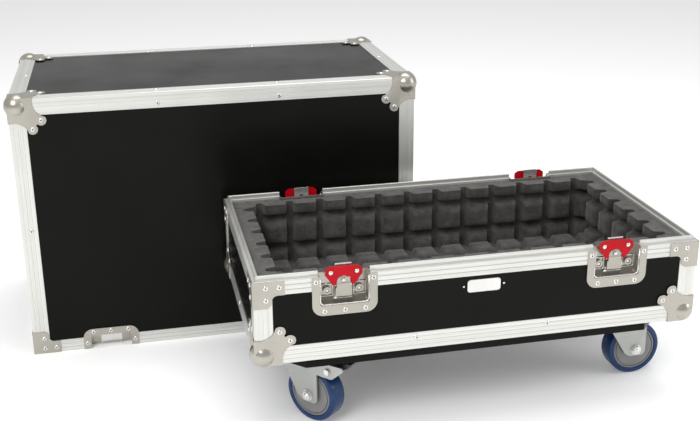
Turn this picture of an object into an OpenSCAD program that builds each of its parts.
// Road case for a guitar combo amplifier: a foam-lined tray on four swivel casters, and a
// lift-off cover that stands on its own rim behind the tray. Millimetres, +Z up, origin on
// the floor in the middle of the two.

/* [Case] */
// Outside width of the tray and the cover
case_w = 750; // [720:10:860]
// Outside depth of the tray and the cover
case_d = 400; // [380:10:460]
// Height of the tray's box, underside to mating plane
tray_h = 143; // [135:1:170]
// Height of the cover, rim to top
cover_h = 501; // [420:1:600]
// Thickness of the laminated plywood panels
panel_t = 9; // [8:0.5:10]
// Thickness of the board that carries the casters
board_t = 15; // [12:1:18]

/* [Layout] */
// How far the standing cover is shifted left of the tray
cover_shift = 374; // [300:1:420]
// Gap between the tray's back and the standing cover
cover_gap = 24; // [24:1:60]

/* [Extrusions] */
// Leg of the aluminium angle along the edges
angle_leg = 30; // [26:1:34]
// Wall of the aluminium extrusions
alu_t = 1.5; // [1.2:0.1:2]
// Height of the rim extrusion's outer face
rim_h = 24; // [22:1:26]
// Height of the rim's tongue
tongue_h = 8; // [6:1:8]

/* [Corners] */
// Radius of the ball corner
ball_r = 22; // [20:0.5:24]
// Depth of the ball's centre inside the corner
ball_in = 14.5; // [13:0.5:16]
// Thickness of the pressed steel plates
plate_t = 1.5; // [1:0.1:1.5]

/* [Latches] */
// Distance of each latch from the middle of the case
latch_x = 230; // [200:1:240]
// Width of the latch dish's recess
recess_w = 80; // [80:1:84]
// Height of the latch dish's recess
recess_h = 50; // [50:1:52]
// Depth of the latch and keeper dishes
recess_d = 17; // [17:0.5:18]
// Height of the keeper dish's recess
keeper_h = 27; // [26:1:30]
// Depth of the twist axis below the mating plane
pivot_w = 12; // [12:0.5:12.5]
// How far the hook travels when the latch is twisted
hook_travel = 10; // [8:0.5:10]

/* [Foam] */
// Thickness of the foam on the walls
foam_t = 35; // [25:1:40]
// Thickness of the foam on the floor and under the top
foam_floor_t = 20; // [15:1:25]

/* [Casters] */
// Wheel radius
wheel_r = 50; // [50:1:50]
// Wheel width
wheel_w = 32; // [30:1:32]
// Swivel axis to wheel axle, measured level
trail = 38; // [36:1:40]
// Overall height of a caster
caster_h = 135; // [135:1:138]
// Distance of each swivel axis from the middle, along the width
caster_x = 289; // [270:1:289]
// Distance of each swivel axis from the middle, along the depth
caster_y = 90; // [88:1:92]

/* [Hidden] */
$fn = 48;
POS = ["fl", "fr", "bl", "br"];
BRAKED = [0, 2];
TRAIL_ANGLE = [-49.5, 3, 10, 25];

wall = alu_t + panel_t;
tray_z = caster_h + board_t;
mate_z = tray_z + tray_h;
tray_at = [cover_shift / 2, -(case_d + cover_gap) / 2, 0];
cover_at = -tray_at;
// Clearance between a pressed part and the cut-out it sits in
cut_gap = 0.2;
// Radial clearance of every hinge pin and axle
fit = 0.05;
// How far the extrusions' and the ears' corners are cut off inside the ball
edge_cut = 8.2;
ear_cut = 12;
groove_half = 0.5;
groove_deep = 0.4;
edge_break = 0.8;
tongue_from = alu_t + 4;
tongue_to = alu_t + 8;
rim_inner_h = 14;
keeper_w = 76;
flange_w = 105;
flange_h = recess_h + 16.5;
keeper_flange_h = keeper_h + 14;
foam_from = wall + alu_t + 0.3;
foam_to = foam_from + foam_t;
foam_long = case_w - 2 * foam_from;
foam_short = case_d - 2 * foam_to - 1;
// Half the slit between neighbouring strips of foam
foam_slit = 0.1;
// Rivet places on the pressed plates, measured from the corner or the flange's middle
BRACE_RIVETS = [[20, 10.5], [41, 11], [20, 31]];
EAR_RIVETS = [[56, 40], [40, 56]];
LATCH_RIVETS = [[-33, -59], [0, -59], [33, -59], [-46, -8.5], [46, -8.5]];
KEEPER_RIVETS = [[-33, 35], [0, 35], [33, 35], [-45.5, 12], [45.5, 12]];
EDGE_RIVET_X = 112;
EDGE_RIVET_IN = 21;
// Layers inside a latch dish, as depths behind the case's outer face
HANDLE_D = [6, 8];
CAM_D = [8.4, 10.4];
HOOK_D = [12, 14];
BACK_D = [15, recess_d];
BUSH_D = 11;
lip_z = 13;
bar_z = lip_z - hook_travel - 2.5;
PIN_R = 3;
CRANK = hook_travel / 2;
FOLD_W = 17.4;
FOLD_D = 9.4;
FOLD_R = 1.5;
knuckle_x = 14.2;
// Side handle in the cover's ends
handle_z = 262;
handle_dish = [150, 112];
handle_tub = [118, 82];
handle_depth = 18;
bail_half = 53;
bail_top = 28;
bail_drop = 46;
bail_r = 3.5;
bail_d = 9;
grip_r = 7.5;
// Caster levels
fork_z = caster_h - 27;
fork_t = 4;
leg_in = wheel_w / 2 + 2.5;
leg_t = 3.5;
axle_r = 5;
pedal_at = [80, caster_h - 28];
core_r = 40.5;

ALU = [0.86, 0.87, 0.86];
ZINC = [0.72, 0.70, 0.66];
LAMINATE = [0.06, 0.06, 0.06];
FOAM = [0.22, 0.21, 0.20];
RED = [0.80, 0.06, 0.10];
BLUE = [0.10, 0.20, 0.45];
GREY = [0.50, 0.49, 0.48];
BLACK = [0.08, 0.08, 0.08];

// ---- placing ----

module on_tray(z = 0) translate(tray_at + [0, 0, z]) children();
module on_cover(z = 0) translate(cover_at + [0, 0, z]) children();

// Draws its child on each of the four sides: X runs along the side and Y points inwards.
module at_sides(which = [0, 1, 2, 3])
    for (k = which) rotate([0, 0, 90 * k]) {
        $run = k % 2 == 0 ? case_w : case_d;
        translate([0, -(k % 2 == 0 ? case_d : case_w) / 2, 0]) children();
    }

// Draws its child at each of the four corners, with X and Y pointing into the case.
module at_corners()
    for (k = [0:3]) rotate([0, 0, 90 * k])
        translate(k % 2 == 0 ? [-case_w / 2, -case_d / 2, 0] : [-case_d / 2, -case_w / 2, 0])
            children();

// Draws its child on the two faces that meet at a corner.
module both_faces() {
    children();
    mirror([1, -1, 0]) children();
}

// The corner of a box cut off square to its diagonal: keeps clear of what lies past that depth.
module corner_cut(depth)
    translate([1, 1, 1] * depth / 3) rotate([0, acos(1 / sqrt(3)), 45]) translate([-20, -20, -40]) cube(40);

// A flat outline stood up in a side's face, from depth d0 to depth d1.
module slab(d0, d1) translate([0, d1, 0]) rotate([90, 0, 0]) linear_extrude(d1 - d0) children();

module at_latch(k) on_tray(mate_z) at_latch_side(k) children();
module at_latch_side(k)
    rotate([0, 0, k < 2 ? 0 : 180])
        translate([(k % 2 == 0 ? -1 : 1) * (k < 2 ? 1 : -1) * latch_x, -case_d / 2, 0]) children();

// ---- extrusions ----

function grooves(n, length) =
    [for (i = [1:n]) for (s = [-1, 0, 1])
        [length * i / (n + 1) + s * groove_half, s == 0 ? groove_deep : 0]];
function swapped(points) = [for (i = [len(points) - 1:-1:0]) [points[i][1], points[i][0]]];

ANGLE = concat(
    [[edge_break, 0]], grooves(3, angle_leg),
    [[angle_leg, 0], [angle_leg, alu_t], [alu_t, alu_t], [alu_t, angle_leg], [0, angle_leg]],
    swapped(grooves(3, angle_leg)), [[0, edge_break]]);

TRAY_RIM = concat(
    [[0, -rim_h], [alu_t, -rim_h], [alu_t, -alu_t], [wall, -alu_t], [wall, -rim_inner_h],
     [wall + alu_t, -rim_inner_h], [wall + alu_t, 0], [tongue_to, 0],
     [tongue_to, tongue_h - edge_break], [tongue_to - edge_break, tongue_h],
     [tongue_from + edge_break, tongue_h], [tongue_from, tongue_h - edge_break],
     [tongue_from, 0], [edge_break, 0], [0, -edge_break]],
    [for (p = grooves(2, rim_h)) [p[1], -p[0]]]);

groove_roof = tongue_h + 1;
COVER_RIM = concat(
    [[edge_break, 0], [tongue_from - 0.7, 0], [tongue_from - 0.7, groove_roof],
     [wall, groove_roof], [wall, 0], [wall + alu_t, 0], [wall + alu_t, rim_inner_h + 8],
     [wall, rim_inner_h + 8], [wall, groove_roof + alu_t], [tongue_from - 1.9, groove_roof + alu_t],
     [tongue_from - 1.9, alu_t], [alu_t, alu_t], [alu_t, rim_h], [0, rim_h]],
    swapped(grooves(2, rim_h)), [[0, edge_break]]);

// One mitred length of an extrusion, lying along X with its outer face at Y 0.
module mitred(profile, length, low, high) {
    gap = 0.1;
    reach = angle_leg + 5;
    intersection() {
        translate([-length / 2, 0, 0]) rotate([90, 0, 90]) linear_extrude(length) polygon(profile);
        translate([0, 0, low]) linear_extrude(high - low) polygon([
            [-length / 2 - 1 + gap, -1], [length / 2 + 1 - gap, -1],
            [length / 2 - reach - gap, reach], [-length / 2 + reach + gap, reach]]);
    }
}

module dish_cuts(width, low, high)
    at_sides([0, 2]) for (s = [-1, 1])
        translate([s * latch_x - width / 2 - plate_t - cut_gap, -5, low])
            cube([width + 2 * (plate_t + cut_gap), foam_from + recess_d, high - low]);

module tray_rim() color(ALU) on_tray(mate_z) difference() {
    at_sides() mitred(TRAY_RIM, $run, -rim_h - 1, tongue_h + 1);
    dish_cuts(recess_w, -rim_h - 1, tongue_h + 1);
}

module cover_rim() color(ALU) on_cover() difference() {
    at_sides() mitred(COVER_RIM, $run, -1, rim_h + 1);
    dish_cuts(keeper_w, -1, keeper_h + plate_t + cut_gap);
}

// Four angle extrusions round the bottom of a box, with their corners cut off under the balls.
module cut_edges() difference() {
    at_sides() mitred(ANGLE, $run, -1, angle_leg + 1);
    at_corners() corner_cut(edge_cut);
}

module tray_edges() color(ALU) on_tray(tray_z) {
    cut_edges();
    at_corners() translate([0, 0, angle_leg]) linear_extrude(tray_h - rim_h - angle_leg) polygon(ANGLE);
}

module cover_edges() color(ALU) on_cover() {
    translate([0, 0, cover_h]) mirror([0, 0, 1]) cut_edges();
    at_corners() translate([0, 0, rim_h]) linear_extrude(cover_h - rim_h - angle_leg) polygon(ANGLE);
}

// ---- panels ----

module tray_long_walls() color(LAMINATE) on_tray() difference() {
    at_sides([0, 2]) translate([-case_w / 2 + alu_t, alu_t, tray_z + alu_t])
        cube([case_w - 2 * alu_t, panel_t, tray_h - 2 * alu_t]);
    translate([0, 0, mate_z]) dish_cuts(recess_w, -recess_h - plate_t - cut_gap, 5);
    translate([0, 0, tray_z]) at_corners() corner_cut(edge_cut);
}

module tray_end_walls() color(LAMINATE) on_tray()
    at_sides([1, 3]) translate([-case_d / 2 + wall, alu_t, tray_z + alu_t])
        cube([case_d - 2 * wall, panel_t, tray_h - 2 * alu_t]);

module tray_floor() color(LAMINATE) on_tray(tray_z + alu_t)
    translate([-case_w / 2 + wall, -case_d / 2 + wall, 0])
        cube([case_w - 2 * wall, case_d - 2 * wall, panel_t]);

// The board's corners are cut off, and lowered where the ball corners' ears lie over them.
module caster_board() color(LAMINATE) on_tray(caster_h) {
    half = [case_w / 2 - 5, case_d / 2 - 5];
    cut = case_w / 2 - 5 - (caster_x + 4);
    difference() {
        linear_extrude(board_t) polygon([
            for (s = [[1, 1], [-1, 1], [-1, -1], [1, -1]]) for (k = s[0] * s[1] > 0 ? [0, 1] : [1, 0])
                [s[0] * (half[0] - cut * k), s[1] * (half[1] - cut * (1 - k))]]);
        translate([0, 0, board_t - 4]) linear_extrude(5) at_corners() polygon([[-1, -1], [114, -1], [-1, 114]]);
    }
}

module cover_long_walls() color(LAMINATE) on_cover() difference() {
    low = groove_roof + alu_t;
    at_sides([0, 2]) translate([-case_w / 2 + alu_t, alu_t, low])
        cube([case_w - 2 * alu_t, panel_t, cover_h - alu_t - low]);
    dish_cuts(keeper_w, -1, keeper_h + plate_t + cut_gap);
    translate([0, 0, cover_h]) mirror([0, 0, 1]) at_corners() corner_cut(edge_cut);
}

module cover_end_walls() color(LAMINATE) on_cover() difference() {
    low = groove_roof + alu_t;
    at_sides([1, 3]) translate([-case_d / 2 + wall, alu_t, low])
        cube([case_d - 2 * wall, panel_t, cover_h - alu_t - low]);
    handle_cuts(cut_gap, wall + 1);
}

module handle_cuts(gap, depth)
    at_sides([1, 3]) translate([0, 0, handle_z]) slab(-5, depth)
        square(handle_tub + [1, 1] * 2 * (plate_t + gap), center = true);

module cover_top() color(LAMINATE) on_cover(cover_h - wall)
    translate([-case_w / 2 + wall, -case_d / 2 + wall, 0])
        cube([case_w - 2 * wall, case_d - 2 * wall, panel_t]);

// ---- foam lining ----

// One strip of wall foam, along X from span[0] to span[1], reaching inwards to the foam's face.
module foam_strip(span, from, low, high)
    if (high - low > 1)
        translate([span[0] + foam_slit, from, low + foam_slit])
            cube([span[1] - span[0] - 2 * foam_slit, foam_to - from, high - low - 2 * foam_slit]);

// A wall's foam is cut into strips round its pockets: [middle, half width, low, high, depth].
module foam_wall(length, low, high, pockets = []) {
    cuts = concat([-length / 2], [for (p = pockets) for (s = [-1, 1]) p[0] + s * p[1]], [length / 2]);
    for (i = [0:len(cuts) - 2]) {
        span = [cuts[i], cuts[i + 1]];
        p = pockets[floor(i / 2)];
        if (i % 2 == 0)
            foam_strip(span, foam_from, low, high);
        else {
            foam_strip(span, foam_from, low, p[2]);
            foam_strip(span, p[4], p[2], p[3]);
            foam_strip(span, foam_from, p[3], high);
        }
    }
}

function dish_pockets(width, low, high) =
    [for (s = [-1, 1]) [s * latch_x, width / 2 + 3, low, high, recess_d + plate_t + 1.5]];

// The sheet that lies between the walls' foam
module foam_sheet(low)
    translate([-case_w / 2 + foam_to + 2 * foam_slit, -case_d / 2 + foam_to + 2 * foam_slit, low])
        cube([case_w - 2 * foam_to - 4 * foam_slit, case_d - 2 * foam_to - 4 * foam_slit, foam_floor_t]);

module tray_foam() color(FOAM) on_tray() {
    low = tray_z + wall;
    high = mate_z - 4;
    foam_sheet(low);
    at_sides([0, 2])
        foam_wall(foam_long, low, high, dish_pockets(recess_w, mate_z - recess_h - 3, high));
    at_sides([1, 3]) foam_wall(foam_short, low, high);
}

module cover_foam() color(FOAM) on_cover() {
    low = 6;
    high = cover_h - wall;
    behind = [handle_tub[0] / 2 + 3, handle_tub[1] / 2 + 3, handle_depth + plate_t + 1.5];
    foam_sheet(high - foam_floor_t);
    at_sides([0, 2]) foam_wall(foam_long, low, high, dish_pockets(keeper_w, low, keeper_h + 3));
    at_sides([1, 3])
        foam_wall(foam_short, low, high,
            [[0, behind[0], handle_z - behind[1], handle_z + behind[1], behind[2]]]);
}

// ---- corner hardware ----

module ear_outline() difference() {
    union() {
        polygon([[-plate_t, -plate_t], [44, -plate_t], [44, 0], [56, 30], EAR_RIVETS[0],
                 EAR_RIVETS[1], [30, 56], [0, 44], [-plate_t, 44]]);
        for (p = EAR_RIVETS) translate(p) circle(9.5);
    }
    for (p = [[70, 8], [8, 70]]) translate(p) circle(26.5);
}

module ball_corner() {
    difference() {
        translate([ball_in, ball_in, ball_in]) sphere(ball_r);
        difference() {
            cube(3 * ball_r);
            corner_cut(edge_cut - cut_gap);
        }
    }
    difference() {
        union() {
            both_faces() slab(-plate_t, 0) ear_outline();
            translate([0, 0, -plate_t]) linear_extrude(plate_t) ear_outline();
        }
        corner_cut(ear_cut);
    }
}

module ball_rivets() {
    both_faces() for (p = EAR_RIVETS) translate([p[0], -plate_t, p[1]]) rivet();
    for (p = EAR_RIVETS) translate([p[0], p[1], -plate_t]) rotate([90, 0, 0]) rivet();
}

module tray_ball_corners() color(ZINC) on_tray(tray_z) at_corners() ball_corner();
module cover_ball_corners() color(ZINC) on_cover(cover_h) mirror([0, 0, 1]) at_corners() ball_corner();

// L brace below the mating plane: long leg level, short leg down the post.
module brace_outline() {
    leg = 50;
    drop = 45;
    width = 29;
    fillet = 10;
    translate([-plate_t, -rim_h]) square([leg + plate_t, rim_h]);
    translate([-plate_t, -drop + fillet]) square([width + plate_t, drop - fillet]);
    translate([-plate_t, -drop]) square([width + plate_t - fillet, drop]);
    translate([width - fillet, -drop + fillet]) circle(fillet);
    difference() {
        translate([width, -rim_h - fillet]) square(fillet);
        translate([width + fillet, -rim_h - fillet]) circle(fillet);
    }
}

module brace() both_faces() slab(-plate_t, 0) brace_outline();
module brace_rivets() both_faces() for (p = BRACE_RIVETS) translate([p[0], -plate_t, -p[1]]) rivet();

module tray_braces() color(ZINC) on_tray(mate_z) at_corners() brace();
module cover_braces() color(ZINC) on_cover() mirror([0, 0, 1]) at_corners() brace();

// Head of a pop rivet, standing out towards -Y, with the sunk mandrel in its middle.
module rivet() rotate([90, 0, 0]) rotate_extrude($fn = 24)
    polygon([[0, 0], [4.4, 0], [4.2, 0.7], [3.5, 1.3], [2.4, 1.7], [1.4, 1.8], [1.2, 0.9], [0, 0.9]]);

module tray_rivets() color(ALU) {
    on_tray(mate_z) at_corners() brace_rivets();
    on_tray(tray_z) {
        at_corners() ball_rivets();
        at_sides([0, 2]) for (s = [-1, 1]) translate([s * EDGE_RIVET_X, 0, EDGE_RIVET_IN]) rivet();
        at_sides([1, 3]) translate([0, 0, EDGE_RIVET_IN]) rivet();
    }
    for (k = [0:3]) at_latch(k) for (p = LATCH_RIVETS) translate([p[0], -plate_t, p[1]]) rivet();
}

module cover_rivets() color(ALU) {
    on_cover() {
        mirror([0, 0, 1]) at_corners() brace_rivets();
        at_corners() both_faces() translate([18.5, 0, cover_h / 2]) rivet();
        at_sides([0, 2]) for (s = [-1, 1]) translate([s * latch_x, 0, 0])
            for (p = KEEPER_RIVETS) translate([p[0], -plate_t, p[1]]) rivet();
        at_sides([1, 3]) translate([0, -plate_t, handle_z]) for (s = [-1, 1]) for (w = [-1, 0, 1])
            translate([s * 66.5, 0, w * 44]) rivet();
    }
    on_cover(cover_h) mirror([0, 0, 1]) {
        at_corners() ball_rivets();
        at_sides([0, 2]) for (s = [-1, 1]) translate([s * EDGE_RIVET_X, 0, 0]) edge_rivet_pair();
        at_sides([1, 3]) edge_rivet_pair();
    }
}

module edge_rivet_pair() {
    translate([0, 0, EDGE_RIVET_IN]) rivet();
    translate([0, EDGE_RIVET_IN, 0]) rotate([90, 0, 0]) rivet();
}

// ---- latches ----

// Outline of a plate below the mating plane, with rounded lower corners.
module tab_outline(width, height, radius, over = 0) {
    translate([-width / 2, -height + radius]) square([width, height - radius + over]);
    translate([-width / 2 + radius, -height]) square([width - 2 * radius, height + over]);
    for (s = [-1, 1]) translate([s * (width / 2 - radius), -height + radius]) circle(radius);
}

module open_dish(tub_w, tub_h, flange) difference() {
    union() {
        slab(-plate_t, 0) tab_outline(flange_w, flange, 18);
        slab(-plate_t, recess_d + plate_t) tab_outline(tub_w + 2 * plate_t, tub_h + plate_t, 6);
    }
    slab(-plate_t - 1, recess_d) tab_outline(tub_w, tub_h, 6 - plate_t, 1);
}

module latch_dishes() color(ZINC)
    for (k = [0:3]) at_latch(k) open_dish(recess_w, recess_h, flange_h);

module keeper_dishes() color(ZINC) on_cover() mirror([0, 0, 1])
    for (k = [0:3]) at_latch_side(k) open_dish(keeper_w, keeper_h, keeper_flange_h);

// Fixed plate on the dish's floor, with the twist pin, its head and two side bushes.
module latch_backplates() color(ZINC) for (k = [0:3]) at_latch(k) {
    slab(BACK_D[0], BACK_D[1]) translate([-15, -46]) square([30, 42]);
    translate([0, 0, -pivot_w]) {
        along_depth(HANDLE_D[1] - 0.6, BACK_D[0]) cylinder(r = PIN_R, h = BACK_D[0] - HANDLE_D[1] + 0.6);
        along_depth(HANDLE_D[1] - 1.4, 0) cylinder(r1 = 2.8, r2 = 3.6, h = 1.6);
    }
    for (s = [-1, 1]) translate([s * 26, 0, -30]) difference() {
        along_depth(BUSH_D, 0) cylinder(r = 6.5, h = BACK_D[1] - BUSH_D);
        along_depth(BUSH_D - 1, 0) cylinder(r = 3.4, h = 4);
    }
}

// Turns a cylinder so that it runs inwards from depth d0.
module along_depth(d0, d1) translate([0, d0, 0]) rotate([-90, 0, 0]) children();

// Turning carrier: grey tongue, drive disc with its crank peg, and the fold hinge's pin.
module latch_cam(k) color(ZINC) at_latch(k) difference() {
    union() {
        slab(CAM_D[0], CAM_D[1]) polygon([
            [0, -5], [8.5, -8.6], [10.8, -13], [10.8, -24], [13, -26], [13, -40],
            [-13, -40], [-13, -26], [-10.8, -24], [-10.8, -13], [-8.5, -8.6]]);
        translate([0, 0, -pivot_w]) along_depth(CAM_D[1], 0) cylinder(r = 9, h = 1.2);
        translate([0, 0, -pivot_w + CRANK]) along_depth(CAM_D[1], 0) cylinder(r = 2, h = 3.3);
        translate([0, FOLD_D, -FOLD_W]) rotate([0, 90, 0])
            cylinder(r = FOLD_R, h = 2 * knuckle_x + 4.8, center = true);
    }
    translate([0, 0, -pivot_w]) along_depth(0, 0) cylinder(r = PIN_R + fit, h = recess_d);
}

// Butterfly handle: a plate with two wings, two lobes, knuckles and two small rivets.
module latch_handle(k) color(RED) at_latch(k) {
    difference() {
        union() {
            slab(HANDLE_D[0], HANDLE_D[1]) difference() {
                polygon([[-23, 12], [23, 12], [30, 7], [30, -2], [17.5, -19.5], [-17.5, -19.5],
                         [-30, -2], [-30, 7]]);
                translate([-12, -20]) square([24, 8]);
                polygon([[-12, -12.1], [12, -12.1], [9.5, -7], [0, -3.3], [-9.5, -7]]);
            }
            for (s = [-1, 1]) translate([s * knuckle_x, FOLD_D, -FOLD_W]) {
                rotate([0, 90, 0]) cylinder(r = 2.4, h = 4, center = true);
                translate([-2, -2.4, -2]) cube([4, 2.4, 4]);
            }
        }
        translate([0, FOLD_D, -FOLD_W]) rotate([0, 90, 0]) cylinder(r = FOLD_R + fit, h = 60, center = true);
    }
    for (s = [-1, 1]) translate([s * 21, HANDLE_D[0], 2]) rotate([90, 0, 0])
        cylinder(r1 = 3.7, r2 = 2.8, h = 1.2);
}

// Sliding hook: a plate slotted for the twist pin and the crank peg, with a turned-out lip.
module latch_hook(k) color(ZINC) at_latch(k) {
    peg_gap = 3.3;
    difference() {
        slab(HOOK_D[0], HOOK_D[1]) translate([-13.5, -24]) square([27, lip_z + 26]);
        slab(HOOK_D[0] - 1, HOOK_D[1] + 1) {
            translate([-PIN_R - 0.3, -pivot_w - PIN_R - 0.3])
                square([2 * PIN_R + 0.6, 2 * PIN_R + 0.6 + hook_travel]);
            translate([-CRANK - 2.4, -pivot_w + CRANK - peg_gap]) square([2 * CRANK + 4.8, 2 * peg_gap]);
        }
    }
    slab(HOOK_D[0] - 1.1, HOOK_D[0]) translate([-13.5, lip_z]) square([27, 2]);
}

// Keeper on the floor of the cover's dish: the hook's lip catches over its front bar.
module keepers() color(ZINC) on_cover() for (k = [0:3]) at_latch_side(k) {
    slab(recess_d - 1.6, recess_d) translate([-20, 1]) square([40, 22]);
    difference() {
        slab(9.5, recess_d - 1.6) translate([-20, bar_z]) square([40, 2.2]);
        slab(HOOK_D[0] - 0.1, HOOK_D[1] + 0.4) translate([-14.5, bar_z - 0.5]) square([29, 3]);
    }
    for (s = [-1, 1]) translate([s * 7.5, recess_d - 1.6, 17]) rotate([90, 0, 0]) cylinder(r = 2.8, h = 1.2);
}

// ---- side handles ----

module at_handle(side) on_cover(handle_z) at_sides([side < 0 ? 3 : 1]) children();

module handle_dishes() color(ZINC) for (side = [-1, 1]) at_handle(side) {
    difference() {
        union() {
            slab(-plate_t, 0) square(handle_dish, center = true);
            slab(-plate_t, handle_depth + plate_t) square(handle_tub + [1, 1] * 2 * plate_t, center = true);
        }
        slab(-plate_t - 1, handle_depth) square(handle_tub, center = true);
    }
    for (s = [-1, 1]) translate([s * (bail_half + 0.5), bail_d, bail_top]) rotate([0, 90, 0])
        cylinder(r = PIN_R, h = 2 * (handle_tub[0] / 2 - bail_half - 0.5), center = true);
}

module handle_bail(side) color(GREY) at_handle(side) {
    for (s = [-1, 1]) {
        difference() {
            union() {
                translate([s * bail_half, bail_d, bail_top]) rotate([0, 90, 0])
                    cylinder(r = 6, h = 6, center = true);
                translate([s * bail_half, bail_d, bail_top - bail_drop]) cylinder(r = bail_r - 0.5, h = bail_drop);
            }
            translate([s * bail_half, bail_d, bail_top]) rotate([0, 90, 0])
                cylinder(r = PIN_R + fit, h = 20, center = true);
        }
        translate([s * bail_half, bail_d, bail_top - bail_drop]) sphere(bail_r);
    }
    translate([0, bail_d, bail_top - bail_drop]) rotate([0, 90, 0])
        cylinder(r = bail_r, h = 2 * bail_half, center = true);
}

module handle_grip(side) color(BLACK) at_handle(side)
    translate([0, bail_d, bail_top - bail_drop]) rotate([0, 90, 0]) difference() {
        cylinder(r = grip_r, h = 90, center = true);
        cylinder(r = bail_r, h = 92, center = true);
    }

// ---- casters ----

module at_caster(k)
    on_tray() translate([(k % 2 == 0 ? -1 : 1) * caster_x, (k < 2 ? -1 : 1) * caster_y, 0]) children();

// Local frame of a swivelling caster: X along the trail, Y along the axle.
module at_swivel(k) at_caster(k) rotate([0, 0, TRAIL_ANGLE[k]]) children();
module at_axle(k) at_swivel(k) translate([trail, 0, wheel_r]) rotate([90, 0, 0]) children();

module caster_plates() color(ZINC) for (k = [0:3]) at_caster(k) {
    race_z = caster_h - 18;
    difference() {
        translate([-50, -42.5, caster_h - 3]) cube([100, 85, 3]);
        for (x = [-38, 38]) for (y = [-29, 29]) translate([x, y, caster_h - 4]) cylinder(r = 4.2, h = 5);
    }
    for (x = [-38, 38]) for (y = [-29, 29]) translate([x, y, caster_h - 8]) cylinder(r = 6.5, h = 5, $fn = 6);
    translate([0, 0, race_z]) cylinder(r = 26, h = 15);
    translate([0, 0, fork_z - 6]) cylinder(r = 6, h = 20);
    translate([0, 0, fork_z - 7]) cylinder(r = 9.5, h = 6, $fn = 6);
}

// One leg of the fork, seen along the axle: it slopes forwards to a blunt foot around the axle.
module fork_leg_outline() {
    foot = wheel_r - 12;
    back = trail + 19;
    polygon([[-24, fork_z + fork_t], [-24, fork_z], [-13, fork_z - 15], [trail - 22, foot + 7],
             [trail - 12, foot], [back - 5, foot], [back, foot + 6], [back, fork_z + fork_t]]);
}

// Cheek that carries the brake pedal's bolt, out past the wheel's top.
module brake_cheek_outline() polygon([
    [30, fork_z - 14], [trail + 32, fork_z - 14], [trail + 51, fork_z - 13], [trail + 74, fork_z + 8],
    [trail + 70, fork_z + 14], [trail + 8, fork_z + 10], [30, fork_z + fork_t]]);

module caster_fork(k) color(ZINC) at_swivel(k) {
    braked = len(search(k, BRAKED)) > 0;
    cup_h = 13;
    difference() {
        union() {
            for (s = [-1, 1]) translate([0, s * (leg_in + leg_t / 2) + leg_t / 2, 0]) rotate([90, 0, 0])
                linear_extrude(leg_t) {
                    fork_leg_outline();
                    if (braked) brake_cheek_outline();
                }
            translate([-24, -leg_in - leg_t / 2, fork_z]) cube([trail + 43, 2 * leg_in + leg_t, fork_t]);
            translate([0, 0, fork_z]) cylinder(r = 31, h = cup_h);
        }
        translate([0, 0, fork_z + fork_t]) cylinder(r = 28, h = cup_h);
        translate([0, 0, fork_z - 1]) cylinder(r = 6 + fit, h = fork_t + 2);
        translate([trail, 0, wheel_r]) rotate([90, 0, 0]) cylinder(r = axle_r + fit, h = 60, center = true);
        if (braked) translate([pedal_at[0], 0, pedal_at[1]]) rotate([90, 0, 0])
            cylinder(r = PIN_R + fit, h = 60, center = true);
    }
}

module both_ends() {
    children();
    mirror([0, 0, 1]) children();
}

module caster_axle(k) color(ZINC) {
    out = leg_in + leg_t;
    at_axle(k) {
        cylinder(r = axle_r, h = 2 * out + 6, center = true);
        both_ends() translate([0, 0, out + 0.1]) {
            cylinder(r = 9.5, h = 1.4);
            cylinder(r = 8, h = 5.5, $fn = 6);
            translate([0, 0, 5.5]) cylinder(r1 = 5.6, r2 = 3.2, h = 2.4);
        }
    }
    if (len(search(k, BRAKED)) > 0)
        at_swivel(k) translate([pedal_at[0], 0, pedal_at[1]]) rotate([90, 0, 0]) {
            cylinder(r = PIN_R, h = 2 * out + 4, center = true);
            for (s = [-1, 1]) translate([0, 0, s * (out + 1.7)]) cylinder(r = 5.5, h = 3.2, center = true, $fn = 6);
        }
}

// Narrow grooves turned into the core's flat faces, one on each side.
module core_groove(z) translate([0, 0, z]) difference() {
    cylinder(r = 36.8, h = 6, center = true);
    cylinder(r = 35.2, h = 8, center = true);
}

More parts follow.
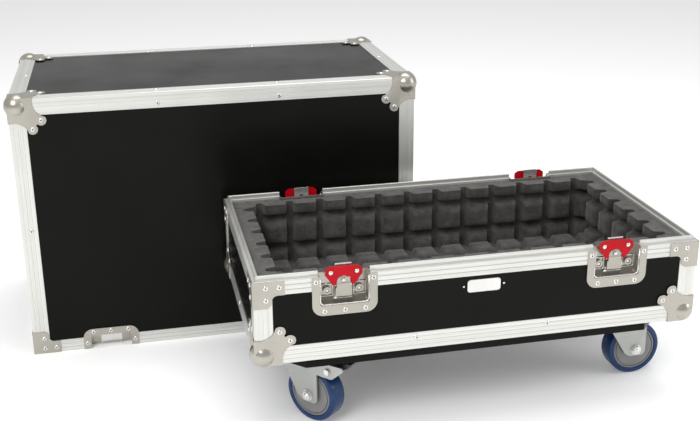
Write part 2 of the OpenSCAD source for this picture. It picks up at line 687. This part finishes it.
module caster_core(k) color(GREY) at_axle(k) {
    half = wheel_w / 2;
    difference() {
        rotate_extrude($fn = 96) polygon([
            [axle_r + fit, -half - 1], [12, -half - 1], [13, -half + 1.6], [core_r - 1, -half + 0.6],
            [core_r, -half + 2], [core_r, half - 2], [core_r - 1, half - 0.6], [13, half - 1.6],
            [12, half + 1], [axle_r + fit, half + 1]]);
        for (s = [-1, 1]) core_groove(s * half);
    }
}

module caster_tread(k) color(BLUE) at_axle(k) rotate_extrude($fn = 96) {
    half = wheel_w / 2;
    crown = 4;
    polygon(concat(
        [[core_r, -half + 2], [core_r + 0.8, -half]],
        [for (a = [0:15:90]) [wheel_r - crown + crown * sin(a), -half + crown - crown * cos(a)]],
        [for (a = [90:-15:0]) [wheel_r - crown + crown * sin(a), half - crown + crown * cos(a)]],
        [[core_r + 0.8, half], [core_r, half - 2]]));
}

// Brake pedal: a toe that rises past the cheek's end, and a shoe above the tread.
module caster_pedal(k) color(BLACK) at_swivel(k) difference() {
    width = 30;
    x = pedal_at[0];
    z = pedal_at[1];
    union() {
        translate([x, 0, z]) rotate([90, 0, 0]) cylinder(r = 6.5, h = width, center = true);
        translate([0, width / 2, 0]) rotate([90, 0, 0]) linear_extrude(width) polygon([
            [x - 9, z - 2], [x - 10, z - 9], [x - 3.5, z - 20.5], [x + 5, z - 13],
            [x + 24, z + 6], [x + 38, z + 17], [x + 41, z + 21], [x + 37, z + 23],
            [x + 20, z + 13], [x, z + 6.5]]);
    }
    translate([x, 0, z]) rotate([90, 0, 0]) cylinder(r = PIN_R + fit, h = width + 10, center = true);
}

// ---- drawing ----

tray_long_walls();
tray_end_walls();
tray_floor();
caster_board();
tray_rim();
tray_edges();
tray_ball_corners();
tray_braces();
tray_rivets();
tray_foam();
latch_dishes();
latch_backplates();
caster_plates();
cover_top();
cover_long_walls();
cover_end_walls();
cover_rim();
cover_edges();
cover_ball_corners();
cover_braces();
cover_rivets();
cover_foam();
keeper_dishes();
keepers();
handle_dishes();
handle_bail(-1);  // handle_left_bail
handle_grip(-1);  // handle_left_grip
handle_bail(1);  // handle_right_bail
handle_grip(1);  // handle_right_grip
for (k = [0:3]) {
    latch_cam(k);
    latch_handle(k);
    latch_hook(k);
    caster_fork(k);
    caster_axle(k);
    caster_core(k);
    caster_tread(k);
}
for (k = BRAKED)
    caster_pedal(k);
